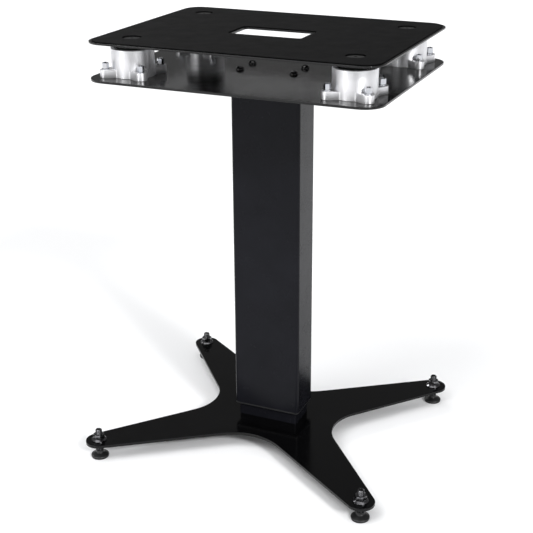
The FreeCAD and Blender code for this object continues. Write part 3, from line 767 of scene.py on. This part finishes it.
def build_mat():
    """Mat with rolled edges at its rim, its cut-out and its four holes, filled from flat outlines.

    The roll grows outwards from each outline, so the outlines stand back by it.
    """
    low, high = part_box("top_mat")
    outlines = [
        rounded_outline(high.x - MAT_ROLL, high.y - MAT_ROLL, MAT_CORNER_R - MAT_ROLL, MAT_CORNER_STEPS),
        rounded_outline(MAT_CUTOUT_X + MAT_ROLL, MAT_CUTOUT_Y + MAT_ROLL, MAT_CUTOUT_R + MAT_ROLL),
    ]
    outlines += [circle_outline(mount.x, mount.y, MAT_HOLE_R + MAT_ROLL) for mount in MOUNTS]
    curve = bpy.data.curves.new("mat_outline", "CURVE")
    curve.dimensions = "2D"
    curve.fill_mode = "BOTH"
    curve.extrude = (high.z - low.z) / 2 - MAT_ROLL
    curve.bevel_depth = MAT_ROLL
    curve.bevel_resolution = 3
    for points in outlines:
        spline = curve.splines.new("POLY")
        spline.points.add(len(points) - 1)
        for point, (x, y) in zip(spline.points, points):
            point.co = (x, y, 0.0, 1.0)
        spline.use_cyclic_u = True
    shape = bpy.data.objects.new("mat_shape", curve)
    mesh = bpy.data.meshes.new_from_object(shape)
    verts = [tuple(vertex.co) for vertex in mesh.vertices]
    faces = [tuple(polygon.vertices) for polygon in mesh.polygons]
    bpy.data.objects.remove(shape)
    mat = piece("anti_slip_mat", [(verts, faces)], "top", FINISHES["mat"], ["top_mat"],
                place=(0, 0, (low.z + high.z) / 2))
    flat = mat.modifiers.new("flat_faces", "WEIGHTED_NORMAL")    # the big faces keep an even shade
    flat.weight = 90
    flat.keep_sharp = True


def build_spindle():
    """Spindle with a plain journal below, a two-start thread and a plain drive end above."""
    low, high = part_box("spindle")
    length = high.z - low.z
    thread_end = length - SPINDLE_DRIVE_H
    part = loft([
        (0.0, 0),
        (0.0, JOURNAL_R),
        (JOURNAL_H, JOURNAL_R),
        *thread(SPINDLE_R, SPINDLE_LEAD / SPINDLE_STARTS, JOURNAL_H, thread_end, SPINDLE_CHAMFER,
                starts=SPINDLE_STARTS, rows=8),
        (thread_end, SPINDLE_R),
        (length - SPINDLE_CHAMFER, SPINDLE_R),
        (length, SPINDLE_R - SPINDLE_CHAMFER),
        (length, 0),
    ], segments=THIN_SEGMENTS)
    piece("lifting_spindle", [part], "spindle", FINISHES["machined"], ["spindle"],
          place=(0, 0, low.z))


# ---------------------------------------------------------------- studio and camera
FLOOR_HALF = 40.0                # half the side of the floor
SURROUND = 0.16                  # light that the object gets from above the floor
BACKDROP = 1.0                   # white that the camera sees behind it


def build_floor():
    """Plain pale floor."""
    corners = [(sx * FLOOR_HALF, sy * FLOOR_HALF, 0) for sx, sy in ((-1, -1), (1, -1), (1, 1), (-1, 1))]
    mesh = bpy.data.meshes.new("floor")
    mesh.from_pydata(corners, [], [(0, 1, 2, 3)])
    floor = bpy.data.objects.new("floor", mesh)
    bpy.context.scene.collection.objects.link(floor)
    finish = Finish("floor_paper", (0.92, 0.925, 0.935), 0.9, specular=0.1)
    mesh.materials.append(finish.material)


def build_world():
    """Plain white behind the object, which itself is lit by dimmer even surroundings."""
    world = bpy.data.worlds.new("studio")
    world.use_nodes = True
    tree = world.node_tree
    background = next(node for node in tree.nodes if node.type == "BACKGROUND")
    background.inputs["Color"].default_value = (1.0, 1.0, 1.0, 1.0)
    path = tree.nodes.new("ShaderNodeLightPath")
    strength = tree.nodes.new("ShaderNodeMapRange")
    strength.inputs["To Min"].default_value = SURROUND
    strength.inputs["To Max"].default_value = BACKDROP
    tree.links.new(path.outputs["Is Camera Ray"], strength.inputs["Value"])
    tree.links.new(strength.outputs["Result"], background.inputs["Strength"])
    bpy.context.scene.world = world


def direction(azimuth, elevation):
    """Unit vector from the object towards azimuth, where 0 is the front and 90 is the right."""
    a, e = math.radians(azimuth), math.radians(elevation)
    return Vector((math.sin(a) * math.cos(e), -math.cos(a) * math.cos(e), math.sin(e)))


def add_sun(name, azimuth, elevation, strength, softness):
    """Distant light from that direction, in degrees; softness is its angular size."""
    light = bpy.data.lights.new(name, "SUN")
    light.energy = strength
    light.angle = math.radians(softness)
    obj = bpy.data.objects.new(name, light)
    obj.rotation_euler = (-direction(azimuth, elevation)).to_track_quat("-Z", "Y").to_euler()
    bpy.context.scene.collection.objects.link(obj)


def build_lights():
    """Key from the right, broad light from above, a fill, a rim light and low lights for the sheen."""
    add_sun("key_light", azimuth=54.0, elevation=32.0, strength=1.8, softness=9.0)
    add_sun("fill_light", azimuth=-26.5, elevation=54.0, strength=0.9, softness=30.0)
    add_sun("top_light", azimuth=10.0, elevation=74.0, strength=1.58, softness=74.0)
    add_sun("rim_light", azimuth=-130.0, elevation=42.0, strength=0.5, softness=16.0)
    add_sun("low_left", azimuth=-31.0, elevation=10.0, strength=0.8, softness=66.0)
    add_sun("strip_left", azimuth=-31.0, elevation=12.0, strength=0.3, softness=9.0)
    add_sun("low_right", azimuth=57.0, elevation=10.0, strength=0.35, softness=44.0)


def add_camera():
    """Camera at the front right, a little above the top plate, looking down by 21.97 degrees."""
    data = bpy.data.cameras.new("camera")
    data.sensor_width = 36.0
    data.lens = 75.51
    data.shift_x = -0.0290
    data.shift_y = -0.0056
    camera = bpy.data.objects.new("camera", data)
    camera.location = (0.7387, -1.7047, 1.0845)
    camera.rotation_euler = (math.radians(90 - 21.97), 0.0, math.radians(22.95))
    bpy.context.scene.collection.objects.link(camera)
    bpy.context.scene.camera = camera


add_camera()
build_floor()
build_world()
build_lights()
bpy.context.scene.view_settings.view_transform = "Standard"
build_feet()
build_housings()
build_flange_fasteners()
build_mat()
build_spindle()
